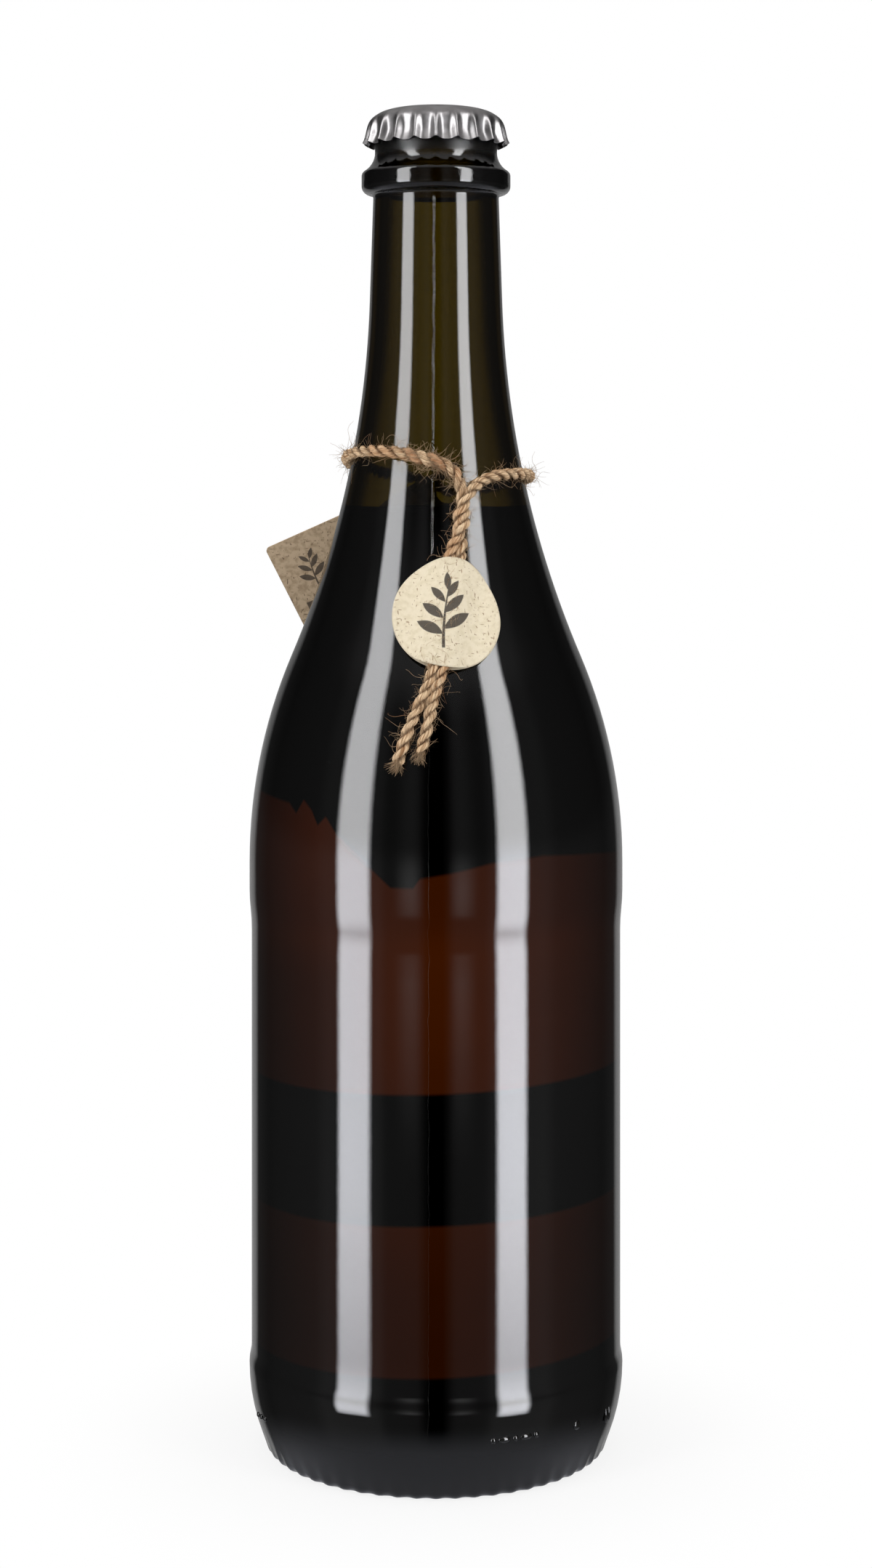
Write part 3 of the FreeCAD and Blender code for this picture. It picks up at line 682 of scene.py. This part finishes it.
twine = {
    "diameter": 1.9, "clearance": 0.12,
    "leftTail": ((-11.6, 122.2), (-10.8, 120.3), (-9.9, 117.9), (-8.3, 114.6),
                 (-6.3, 111.5), (-4.2, 108.4), (-2.3, 105.4)),
    # the legs wind once round each other: the third number is how far out they are, in diameters
    "leftLeg": ((7.9, 77.6, 0.5), (11.9, 74.5, 1.0), (15.6, 71.4, 0.5), (14.4, 68.4, 0.0),
                (14.2, 65.0, 0.5), (12.4, 61.8, 0.3), (6.4, 59.6, 0.0)),
    "leftLoop": ((-3.1, 58.5), (-15.7, 57.6), (-29.0, 56.7), (-45.0, 56.5), (-62.0, 56.7),
                 (-80.0, 57.5), (-98.0, 58.7), (-116.0, 59.8), (-133.0, 60.9)),
    "rightLoop": ((164.0, 65.3), (151.0, 64.9), (136.0, 64.2), (118.0, 63.2), (100.0, 62.4),
                  (82.0, 61.8), (64.0, 61.5), (49.0, 61.6), (36.5, 62.0), (27.3, 63.2)),
    "rightLeg": ((19.6, 65.3, 0.5), (14.6, 68.4, 1.0), (10.9, 71.4, 0.5), (11.7, 74.5, 0.0),
                 (12.9, 77.6, 0.5)),
    "rightTail": ((1.2, 105.2), (-0.8, 108.7), (-1.9, 112.0), (-2.9, 115.5), (-4.0, 118.2),
                  (-4.8, 120.1)),
    "overTag": ((-8.8, 8.0, 0.2), (-5.5, 5.2, 1.9), (-2.1, 2.0, 1.75), (0.0, 0.0, 0.0)),
    "plyRadius": 0.66, "plyReach": 0.63, "inSeal": 0.78, "pitch": 6.0, "spacing": 0.3,
    "sides": 16, "twist": -1.1,
    "fluffAt": 73.0, "fluffReach": 7.0, "fluff": 0.34,      # one looser stretch of the left loop
    # fibres: how many, steps in each, shortest, longest, curl and thickness
    "hairs": (1500, 7, 1.4, 5.0, 0.2, 0.04), "fluffHairs": (260, 8, 2.0, 4.5, 0.32, 0.055),
    "strays": (150, 14, 3.5, 9.0, 0.4, 0.05), "endFibres": (90, 6, 1.4, 3.8, 0.13, 0.06),
    "seed": 7, "knots": 90,         # the unevenness changes at this many places
    "dark": (152, 112, 76), "pale": (242, 212, 174), "warm": (206, 154, 110),
    # the last colour on this line is painted shade, laid where the plies meet and little light gets
    # in
    "red": (184, 128, 88), "gap": (92, 66, 44), "grooveShade": (92, 62, 40),
}
seal = {
    "paper": 0.22, "drop": 91.3, "azimuth": 4.4, "stand": 0.42, "glue": 0.02, "lean": 9.4,
    "legs": 12.9, "slope": 6.5,
    "rim": (11.3, 10.9, 11.7, 11.9, 11.3, 11.3, 11.6, 12.1, 12.4, 12.5, 12.9, 12.3),
    "sprig": (-1.0, -0.6, 1.38), "ink": 0.92,       # its place across and up, and its size
}
tag = {
    "card": 0.45, "turn": 25.0, "side": 3.0, "drop": 65.4, "rest": 0.3,
    "width": 50.0, "margin": 5.4,
    # printed bars: start from the left, width, distance from the top, height
    "bars": ((3.0, 14.0, 16.0, 2.2), (3.0, 24.0, 21.0, 1.5), (3.0, 20.0, 25.0, 1.5),
             (3.0, 27.0, 29.0, 1.5), (3.0, 13.0, 33.0, 1.5), (3.0, 40.0, 44.0, 0.5)),
    "sprig": (7.6, 8.6, 0.85), "ink": 0.85,         # from the left, from the top, and its size
}


def onGlass(azimuth, drop, lift):
    height = bottle.neckTop - drop
    angle, lean = math.radians(azimuth), bottle.lean(height)
    radius = bottle.radius(height) + lift * math.cos(lean)
    return Vector((radius * math.sin(angle), -radius * math.cos(angle),
                   height + lift * math.sin(lean)))


class Sheet:
    # a flat sheet's own axes: across, up and out
    def __init__(self, place, across, up):
        self.place, self.across, self.up = place, across, up
        self.out = across.cross(up)

    def point(self, across, up, out):
        return self.place + self.across * across + self.up * up + self.out * out

    def read(self, tree):
        # how far a point of the surface lies across and up, in millimetres
        offset = tree.vector("SUBTRACT", tree.place(), tuple(self.place))
        return [tree.vector("DOT_PRODUCT", offset, tuple(axis), "Value")
                for axis in (self.across, self.up)]


def sealSheet():
    angle = math.radians(seal["azimuth"])
    lean = bottle.lean(bottle.neckTop - seal["drop"])
    across = Vector((math.cos(angle), math.sin(angle), 0))
    up = Vector((-math.sin(lean) * math.sin(angle), math.sin(lean) * math.cos(angle),
                 math.cos(lean)))
    return Sheet(onGlass(seal["azimuth"], seal["drop"], seal["stand"]), across, up)


def tagSheet():
    height = bottle.neckTop - tag["drop"]
    gap = (twine["diameter"] + 2 * twine["clearance"]) / math.cos(bottle.lean(height))
    hole = bottle.radius(height) + gap
    run, rise = hole - bottle.shoulder[0], height - bottle.shoulder[1]
    lean = (math.atan2(rise, run)
            - math.acos((glass["shoulder"] + tag["rest"]) / math.hypot(run, rise)))
    down, side = Vector((0, math.sin(lean), -math.cos(lean))), Vector((1, 0, 0))
    turn = math.radians(tag["turn"])
    across = side * math.cos(turn) - down * math.sin(turn)
    up = side * -math.sin(turn) - down * math.cos(turn)
    return Sheet(Vector((tag["side"], hole, height)), across, up)


def twineRoute():
    rest = twine["diameter"] / 2 + twine["clearance"]
    paper, card = sealSheet(), tagSheet()

    def overGlass(places):
        points = []
        for index, (azimuth, drop, *out) in enumerate(places):
            near = places[max(index - 1, 0):index + 2]
            halfStep = max(abs(azimuth - other[0]) for other in near) / 2
            point = onGlass(azimuth, drop, rest + (out[0] * 2 * rest if out else 0))
            bulge = 1 / math.cos(math.radians(halfStep))
            points.append(Vector((point.x * bulge, point.y * bulge, point.z)))
        return points

    def inSeal(lane, ends):
        lean = math.radians(seal["lean"])
        side = lane * rest
        return [paper.point(side * math.cos(lean) + end * math.sin(lean),
                            -side * math.sin(lean) + end * math.cos(lean),
                            seal["paper"] + seal["glue"] + rest) for end in ends]

    legs = seal["legs"]
    behind = [card.point(a, u, -tag["card"] / 2 - o) for a, u, o in twine["overTag"]]
    return (overGlass(twine["leftTail"]) + inSeal(-1, (-legs, legs))
            + overGlass(twine["leftLeg"] + twine["leftLoop"]) + behind
            + overGlass(twine["rightLoop"] + twine["rightLeg"]) + inSeal(1, (legs, -legs))
            + overGlass(twine["rightTail"]))


def smoothRoute(points):
    # evenly spaced places along the NURBS line of the route, in millimetres
    curve = bpy.data.curves.new("route", "CURVE")
    curve.dimensions = "3D"
    curve.resolution_u = 24
    spline = curve.splines.new("NURBS")
    spline.points.add(len(points) - 1)
    for handle, point in zip(spline.points, points):
        handle.co = (*point, 1)
    spline.order_u = 3
    spline.use_endpoint_u = True
    holder = bpy.data.objects.new("route", curve)
    bpy.context.scene.collection.objects.link(holder)
    line = bpy.data.meshes.new_from_object(holder)
    path = np.array([vertex.co for vertex in line.vertices])
    bpy.data.objects.remove(holder)
    bpy.data.meshes.remove(line)
    along = np.concatenate([[0], np.cumsum(np.linalg.norm(np.diff(path, axis=0), axis=1))])
    places = np.linspace(0, along[-1], int(along[-1] / twine["spacing"]) + 1)
    return np.stack([np.interp(places, along, path[:, axis]) for axis in range(3)], 1), places


def carriedFrames(path):
    # a tangent and two cross directions that don't twist along the path
    tangents = np.gradient(path, axis=0)
    tangents /= np.linalg.norm(tangents, axis=1)[:, None]
    normal = np.cross(tangents[0], (0, 0, 1.0))
    normals = []
    for tangent in tangents:
        normal = normal - tangent * normal.dot(tangent)
        normal /= np.linalg.norm(normal)
        normals.append(normal)
    normals = np.array(normals)
    return tangents, normals, np.cross(tangents, normals)


class Bundle:
    # tubes gathered into one mesh, with a UV map of millimetres along and turns round
    def __init__(self):
        self.points, self.faces, self.uvs, self.open, self.count = [], [], [], [], 0

    def tube(self, path, radii, sides, twist=0.0, along=None, seed=0.0, core=None):
        tangents, normals, binormals = carriedFrames(path)
        if along is None:
            along = np.arange(len(path)) * twine["spacing"]
        angles = np.arange(sides) * 2 * math.pi / sides
        turn = angles[None, :] + twist * along[:, None]
        if np.ndim(radii) == 1:
            radii = radii[:, None]
        out = (np.cos(turn)[..., None] * normals[:, None, :]
               + np.sin(turn)[..., None] * binormals[:, None, :])
        ring = path[:, None, :] + radii[..., None] * out
        # how open to the light each point is, for painted shade: low between the plies beside the
        # cord's middle
        rise = np.ones(ring.shape[:2])
        if core is not None:
            middle, outer = core
            rise = np.linalg.norm(ring - middle[:, None, :], axis=2) / outer[:, None]
        self.open.append(np.concatenate([rise.ravel(), [1.0, 1.0]]))
        base, last = self.count, self.count + (len(path) - 1) * sides
        self.points.append(ring.reshape(-1, 3))
        self.points.append(path[[0, -1]])
        self.count += len(path) * sides + 2
        for i in range(len(path) - 1):
            for j in range(sides):
                a, b = base + i * sides + j, base + i * sides + (j + 1) % sides
                self.faces.append((a, b, b + sides, a + sides))
                u, v = along[i] + seed, j / sides
                w, t = along[i + 1] + seed, (j + 1) / sides
                self.uvs += [(u, v), (u, t), (w, t), (w, v)]
        for middle, start, flip in ((self.count - 2, base, True), (self.count - 1, last, False)):
            for j in range(sides):
                a, b = start + j, start + (j + 1) % sides
                self.faces.append((middle, b, a) if flip else (middle, a, b))
                self.uvs += [(seed, 0.0)] * 3

    def build(self, name):
        mesh = bpy.data.meshes.new(name)
        mesh.from_pydata(np.concatenate(self.points) * mm, [], self.faces)
        layer = mesh.uv_layers.new(name="thread")
        layer.data.foreach_set("uv", np.array(self.uvs, np.float32).ravel())
        mesh.attributes.new("open", "FLOAT", "POINT").data.foreach_set(
            "value", np.concatenate(self.open).astype(np.float32))
        mesh.shade_smooth()
        piece = bpy.data.objects.new(name, mesh)
        bpy.context.scene.collection.objects.link(piece)
        return piece


def clearOfGlass(point, gap):
    # moves a place away from the axis until it is at least gap outside the glass
    height = float(point[2])
    if not bottle.shoulderLow < height < bottle.neckTop:
        return point
    radius, wanted = math.hypot(point[0], point[1]), bottle.radius(height) + gap
    if radius < wanted:
        point = point.copy()
        point[:2] *= wanted / radius
    return point


def makeTwine():
    t = twine
    path, along = smoothRoute(twineRoute())
    tangents, normals, binormals = carriedFrames(path)
    rng = np.random.default_rng(t["seed"])
    length = along[-1]
    knots = np.linspace(0, length, t["knots"])

    def uneven(low, high):
        return np.interp(along, knots, rng.uniform(low, high, len(knots)))

    thick = uneven(0.9, 1.12)
    loose = 1 + t["fluff"] * np.exp(-((along - t["fluffAt"]) / t["fluffReach"]) ** 2)
    paper = sealSheet()
    drop = np.abs((path - np.array(paper.place)) @ np.array(paper.up))
    held = np.interp(drop, (seal["legs"] - 2.5, seal["legs"] - 1.0), (1.0, 0.0))
    held *= (path[:, 1] < 0)
    girth = 1 - (1 - t["inSeal"]) * held
    ends = np.minimum(along, length - along)
    open_ = 1 + 0.25 * np.exp(-ends / 2.5)
    reach = t["plyReach"] * (0.96 + 0.08 * uneven(-1, 1)) * open_ * girth
    turn = 2 * math.pi * along / t["pitch"] + uneven(-0.5, 0.5)
    outer = (reach + t["plyRadius"] * thick * loose * girth) * (1 - held)
    path = np.array([clearOfGlass(point, gap) for point, gap in zip(path, outer)])
    cord = Bundle()
    angles = np.arange(t["sides"]) * 2 * math.pi / t["sides"]
    for ply in range(2):
        phase = turn + ply * math.pi
        middle = path + reach[:, None] * (np.cos(phase)[:, None] * normals
                                          + np.sin(phase)[:, None] * binormals)
        strands = sum(
            0.065 * np.cos(n * angles[None, :] + rng.uniform(0, 6.28) + wave * along[:, None])
            for n, wave in ((3, 0.8), (5, -0.6), (4, 1.7), (7, 0.9)))
        radii = t["plyRadius"] * (thick * loose * girth)[:, None] * (1 + strands)
        radii = radii * np.minimum(1, 0.55 + ends / 1.2)[:, None]
        cord.tube(middle, radii, t["sides"], t["twist"], along, ply * 500.0,
                  (path, reach + radii.mean(1)))
    body = cord.build("twineCord")

    # fibres: most lie along the cord, some stand away, and the ends fray
    fuzz = Bundle()

    def fibre(start, direction, kind, gap=0.1):
        _, count, shortest, longest, curl, thickness = t[kind]
        stride = rng.uniform(shortest, longest) / count
        points, heading = [clearOfGlass(start, 0.1)], direction / np.linalg.norm(direction)
        bend = rng.normal(0, curl, 3)
        for _ in range(count):
            bend = 0.75 * bend + 0.5 * rng.normal(0, curl, 3)
            heading = heading + bend
            heading /= np.linalg.norm(heading)
            points.append(clearOfGlass(points[-1] + heading * stride, gap))
        radii = thickness * np.linspace(1, 0.45, count + 1)
        fuzz.tube(np.array(points), radii, 3, seed=float(rng.uniform(0, 400)))

    def outOf(index):
        angle = rng.uniform(0, 2 * math.pi)
        return math.cos(angle) * normals[index] + math.sin(angle) * binormals[index]

    for _ in range(t["hairs"][0]):
        index = int(rng.integers(4, len(path) - 4))
        out = outOf(index)
        start = path[index] + out * (t["plyReach"] + t["plyRadius"] * 0.75) * (thick * girth)[index]
        direction = tangents[index] * rng.choice((-1, 1)) + out * rng.uniform(0.0, 0.55)
        fibre(start, direction, "hairs")
    for _ in range(t["fluffHairs"][0]):
        index = int(rng.normal(t["fluffAt"], t["fluffReach"] * 0.6) / t["spacing"])
        out = outOf(index)
        start = path[index] + out * (t["plyReach"] + t["plyRadius"])
        direction = tangents[index] * rng.choice((-1, 1)) + out * rng.uniform(0.1, 0.7)
        fibre(start, direction, "fluffHairs")
    for _ in range(t["strays"][0]):
        index = int(rng.integers(4, len(path) - 4))
        out = outOf(index)
        direction = tangents[index] * rng.normal(0, 0.6) + out
        fibre(path[index] + out * t["plyReach"], direction, "strays", 0.15)
    for end, sign in ((0, -1), (len(path) - 1, 1)):
        for _ in range(t["endFibres"][0]):
            start = path[end] + outOf(end) * rng.uniform(0, 1.0) - sign * tangents[end] * 0.8
            direction = sign * tangents[end] + outOf(end) * rng.uniform(0, 0.45)
            fibre(start, direction, "endFibres")
    return body, fuzz.build("twineFibres"), length


def juteMaterial():
    made, tree, constants = material("jute", Specular_IOR_Level=0.25, Roughness=0.85)
    thread = tree.node("UVMap", {"uv_map": "thread"})
    u, v, _ = tree.parts(thread)
    lay = tree.node("CombineXYZ", sockets={0: u * 0.22, 1: v * 9.0 + u * 0.35, 2: 0.0})
    strands = tree.noise(lay, 1.0, 3.0, roughness=0.65)
    fine = tree.node("CombineXYZ", sockets={0: u * 0.9, 1: v * 30.0 + u * 1.2, 2: 0.0})
    fibres = tree.noise(fine, 1.0, 2.0)
    patches = tree.noise(tree.place(), 9.0, 2.0)
    reddish = 1 - abs(u - twine["fluffAt"]).step(4.0, 10.0)
    # painted shade: darker where a point is little open to the light, between the plies
    grooveShade = tree.node("Attribute", {"attribute_name": "open"}, output=2).step(0.88, 0.6)
    colour = paint(*twine["dark"])
    for name, share in (("pale", strands.step(0.36, 0.6)), ("warm", patches.step(0.5, 0.66) * 0.5),
                        ("red", reddish * 0.6), ("gap", fibres.step(0.44, 0.3) * 0.6),
                        ("grooveShade", grooveShade * (patches * 0.9 + 0.2))):
        colour = tree.blend(colour, paint(*twine[name]), share)
    height = strands * 0.6 + fibres * 0.4
    tree.finish(principled(tree, constants, Base_Color=colour, Normal=tree.bump(height, 0.3)))
    return made


cord, fibres, twineLength = makeTwine()
jute = juteMaterial()
for piece in (cord, fibres):
    piece.data.materials.append(jute)
    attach(piece, "root")
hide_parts("twine")
print("twine", round(float(twineLength), 1), "mm, cord", len(cord.data.polygons),
      "faces, fibres", len(fibres.data.polygons))


# printing: a small leafy sprig, drawn with soft-edged shapes

leafy = {
    # each leaf: its foot across and up, the angle it grows at, its length and width
    "leaves": ((0.0, -3.4, 148, 4.6, 1.7), (0.1, -2.6, 34, 4.9, 1.7), (0.15, -0.9, 138, 4.2, 1.5),
               (0.3, 0.0, 44, 4.3, 1.5), (0.5, 1.7, 128, 3.4, 1.2), (0.75, 2.5, 55, 3.3, 1.2)),
    "tip": (1.0, 3.6, 92, 3.0, 1.1),
    "stalk": (-5.6, 4.2, 0.26), "bend": 0.012, "ink": (52, 45, 42),
}


def leaf(u, v, x, y, angle, length, width):
    # 1 inside a pointed leaf that starts at x, y
    cosine, sine = math.cos(math.radians(angle)), math.sin(math.radians(angle))
    along = (u - x) * cosine + (v - y) * sine
    across = (v - y) * cosine - (u - x) * sine
    part = along / length * 2 - 1
    edge = (1 - part * part) * (width / 2) - abs(across)
    return edge.step(-0.06, 0.08)


def stalk(u, v, low, high, width):
    # a bent line that rises from low to high and gets thinner
    middle = (v - low) * (v - low) * leafy["bend"]
    taper = v.step(low, high, width, width * 0.45)
    return (taper - abs(u - middle)).step(-0.05, 0.07) * v.band(low, high, 0.1)


def sprig(u, v, size, leaves):
    u, v = u / size, v / size
    ink = stalk(u, v, *leafy["stalk"])
    for x, y, angle, length, width in leaves:
        ink = ink.either(leaf(u, v, x, y, angle, length, width))
    return ink


# seal: a sheet of paper folded over the twine and stuck to the one behind

def sealRadius(angle):
    # the cut edge, a smooth closed line through the rim's radii
    rim = seal["rim"]
    count = len(rim)
    waves = [sum(r * np.exp(-2j * math.pi * k * i / count) for i, r in enumerate(rim)) / count
             for k in range(count // 2 + 1)]
    value = waves[0].real
    for k, wave in enumerate(waves[1:], 1):
        share = 1 if k == count // 2 else 2
        value += share * (wave * np.exp(1j * k * angle)).real
    return float(value)


def makeSealFront():
    s = seal
    rings, steps = 26, 120
    bpy.ops.object.select_all(action="DESELECT")
    bpy.ops.mesh.primitive_circle_add(vertices=steps, radius=1.0, fill_type="NOTHING")
    piece = bpy.context.object
    piece.name = "sealFront"
    bpy.ops.object.mode_set(mode="EDIT")
    for ring in range(rings - 1, 0, -1):
        bpy.ops.mesh.extrude_edges_move()
        size = ring / (ring + 1)
        bpy.ops.transform.resize(value=(size, size, size))
    bpy.ops.mesh.edge_face_add()
    bpy.ops.mesh.poke()
    bpy.ops.mesh.select_all(action="SELECT")
    bpy.ops.mesh.normals_make_consistent(inside=False)
    bpy.ops.mesh.faces_shade_smooth()
    bpy.ops.object.mode_set(mode="OBJECT")
    rest = twine["diameter"] / 2 + twine["clearance"]
    foot, crown = s["paper"] + s["glue"], 2 * rest
    lean = math.radians(s["lean"])
    paper = sealSheet()
    for vertex in piece.data.vertices:
        angle = math.atan2(vertex.co.y, vertex.co.x)
        radius = math.hypot(vertex.co.x, vertex.co.y) * sealRadius(angle)
        u, v = radius * math.cos(angle), radius * math.sin(angle)
        off = abs(u * math.cos(lean) - v * math.sin(lean))
        away = min(max((off - rest * 1.1) / s["slope"], 0), 1)
        rise = crown * (1 - away * away * (3 - 2 * away))
        rise += 0.10 * math.sin(0.5 * u + 1.3) * math.sin(0.42 * v + 0.4) * min(1, off / 6)
        vertex.co = paper.point(u, v, foot + max(rise, 0)) * mm
    if piece.data.polygons[0].normal.dot(paper.out) < 0:
        piece.data.flip_normals()
    modifier = piece.modifiers.new("thickness", "SOLIDIFY")
    modifier.thickness, modifier.offset = s["paper"] * mm, 1
    bpy.ops.object.modifier_apply(modifier="thickness")
    return piece


def paperMaterial(name, tones, print_=None):
    # recycled paper: mottled, with short brown and grey fibres in it
    pale, dark, fleck = (paint(*tone) for tone in tones)
    made, tree, constants = material(name, Roughness=0.8, Specular_IOR_Level=0.3)
    place = tree.place()
    mottle = tree.noise(place, 1.1, 4.0)
    colour = tree.blend(dark, pale, mottle.step(0.3, 0.62))
    for stretch, size, cut, depth in (((1.0, 1.0, 0.22), 0.42, 0.67, 0.75),
                                      ((0.25, 1.0, 1.0), 0.46, 0.68, 0.65),
                                      ((0.7, 1.0, 0.5), 0.30, 0.73, 0.8)):
        flecks = tree.noise(place, size, 1.0, stretch).step(cut, cut + 0.05)
        colour = tree.blend(colour, fleck, flecks * depth)
    if print_:
        ink, strength = print_(tree)
        colour = tree.blend(colour, paint(*leafy["ink"]), ink * strength)
    height = tree.noise(place, 0.35, 3.0) * 0.6 + mottle * 0.4
    tree.finish(principled(tree, constants, Base_Color=colour, Normal=tree.bump(height, 0.05)))
    return made


def sealPrint(tree):
    u, v = sealSheet().read(tree)
    x, y, size = seal["sprig"]
    return sprig(u - x, v - y, size, leafy["leaves"] + (leafy["tip"],)), seal["ink"]


papers = {      # pale, dark and fleck colour
    "seal": ((229, 217, 192), (219, 206, 178), (150, 122, 92)),
    "kraft": ((200, 177, 148), (172, 149, 121), (96, 76, 56)),
    "label": ((226, 212, 184), (214, 198, 168), (158, 132, 102)),
}
sealFront = makeSealFront()
sealPaper = paperMaterial("sealPaper", papers["seal"], sealPrint)
plainPaper = paperMaterial("plainPaper", papers["seal"])
sealFront.data.materials.append(sealPaper)
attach(sealFront, "root")
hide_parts("seal_front")
nodes["seal_back"].material_slots[0].material = plainPaper


# hang tag and back labels keep their solids

def tagPrint(tree):
    # bars of dummy text under a sprig, on the side that faces away from the bottle
    card = tagSheet()
    u, v = card.read(tree)
    left, drop = u + (tag["width"] - tag["margin"]), (v - tag["margin"]) * -1
    ink = None
    for start, width, top, height in tag["bars"]:
        bar = left.band(start, start + width, 0.12) * drop.band(top, top + height, 0.12)
        ink = ink.either(bar) if ink else bar
    x, y, size = tag["sprig"]
    mark = sprig(left - x, y - drop, size, leafy["leaves"])
    facing = tree.vector("DOT_PRODUCT", tree.node("TexCoord", output=1), tuple(card.out), "Value")
    return ink.either(mark) * facing.step(0.2, 0.5), tag["ink"]


labelPaper = paperMaterial("labelPaper", papers["label"])
nodes["hang_tag"].material_slots[0].material = paperMaterial("kraftCard", papers["kraft"], tagPrint)
for name in ("label_upper", "label_lower"):
    nodes[name].material_slots[0].material = labelPaper
print("papers ready")


bpy.context.scene.view_settings.view_transform = "Standard"
